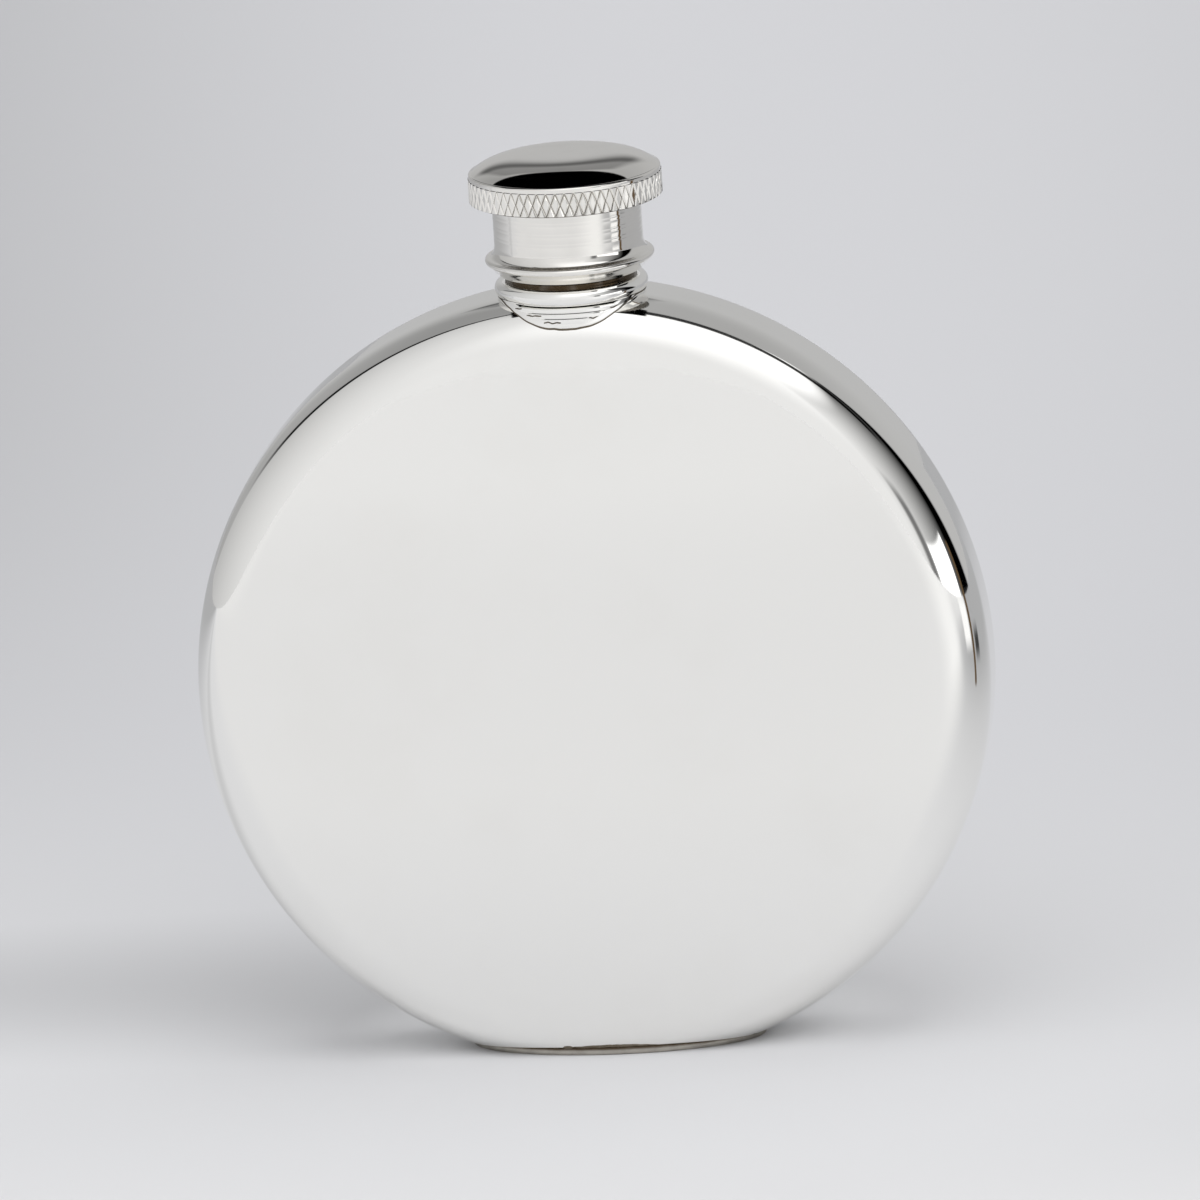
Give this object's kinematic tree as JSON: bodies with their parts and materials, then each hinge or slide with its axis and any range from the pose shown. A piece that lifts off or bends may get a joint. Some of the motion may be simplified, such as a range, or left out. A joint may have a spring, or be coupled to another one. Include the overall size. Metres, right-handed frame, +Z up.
{
  "type": "hip flask",
  "caption": "Round polished pewter hip flask standing on a flat base, with a turned neck and a screw cap with a knurled domed head.",
  "frame": {"origin": "centre of the base plate's underside, on the surface that the flask stands on", "axes": "+Z up along the neck, -Y towards the front face, +X to the right seen from the front"},
  "size_m": [0.1, 0.0242, 0.1144],
  "materials": {
    "polished_pewter": "mirror-polished pewter",
    "cap_pewter": "polished pewter with turning rings and a knurled rim",
    "base_pewter": "filed and buffed pewter plate with a solder line",
    "turned_pewter": "satin turned pewter",
    "seal_rubber": "off-white matte rubber"
  },
  "bodies": {
    "flask": {"front_shell": "polished_pewter", "back_shell": "polished_pewter", "base_plate": "base_pewter", "neck_collar": "polished_pewter", "neck_tube": "turned_pewter"},
    "seal": {"cap_seal": "seal_rubber"},
    "cap": {"cap_head": "cap_pewter", "cap_skirt": "cap_pewter", "cap_thread_bush": "turned_pewter"}
  },
  "joints": [
    {"name": "cap_rise", "type": "slide", "parent": "flask", "child": "seal", "axis": [0, 0, 1], "range_m": [0, 0.00905]},
    {"name": "cap_turn", "type": "hinge", "parent": "seal", "child": "cap", "pos_m": [0, 0, 0.1], "axis": [0, 0, 1], "range_deg": [0, 2160]}
  ],
  "couplings": [
    {"joint": "cap_rise", "follows": "cap_turn", "m_per_rad": 0.00023873}
  ]
}
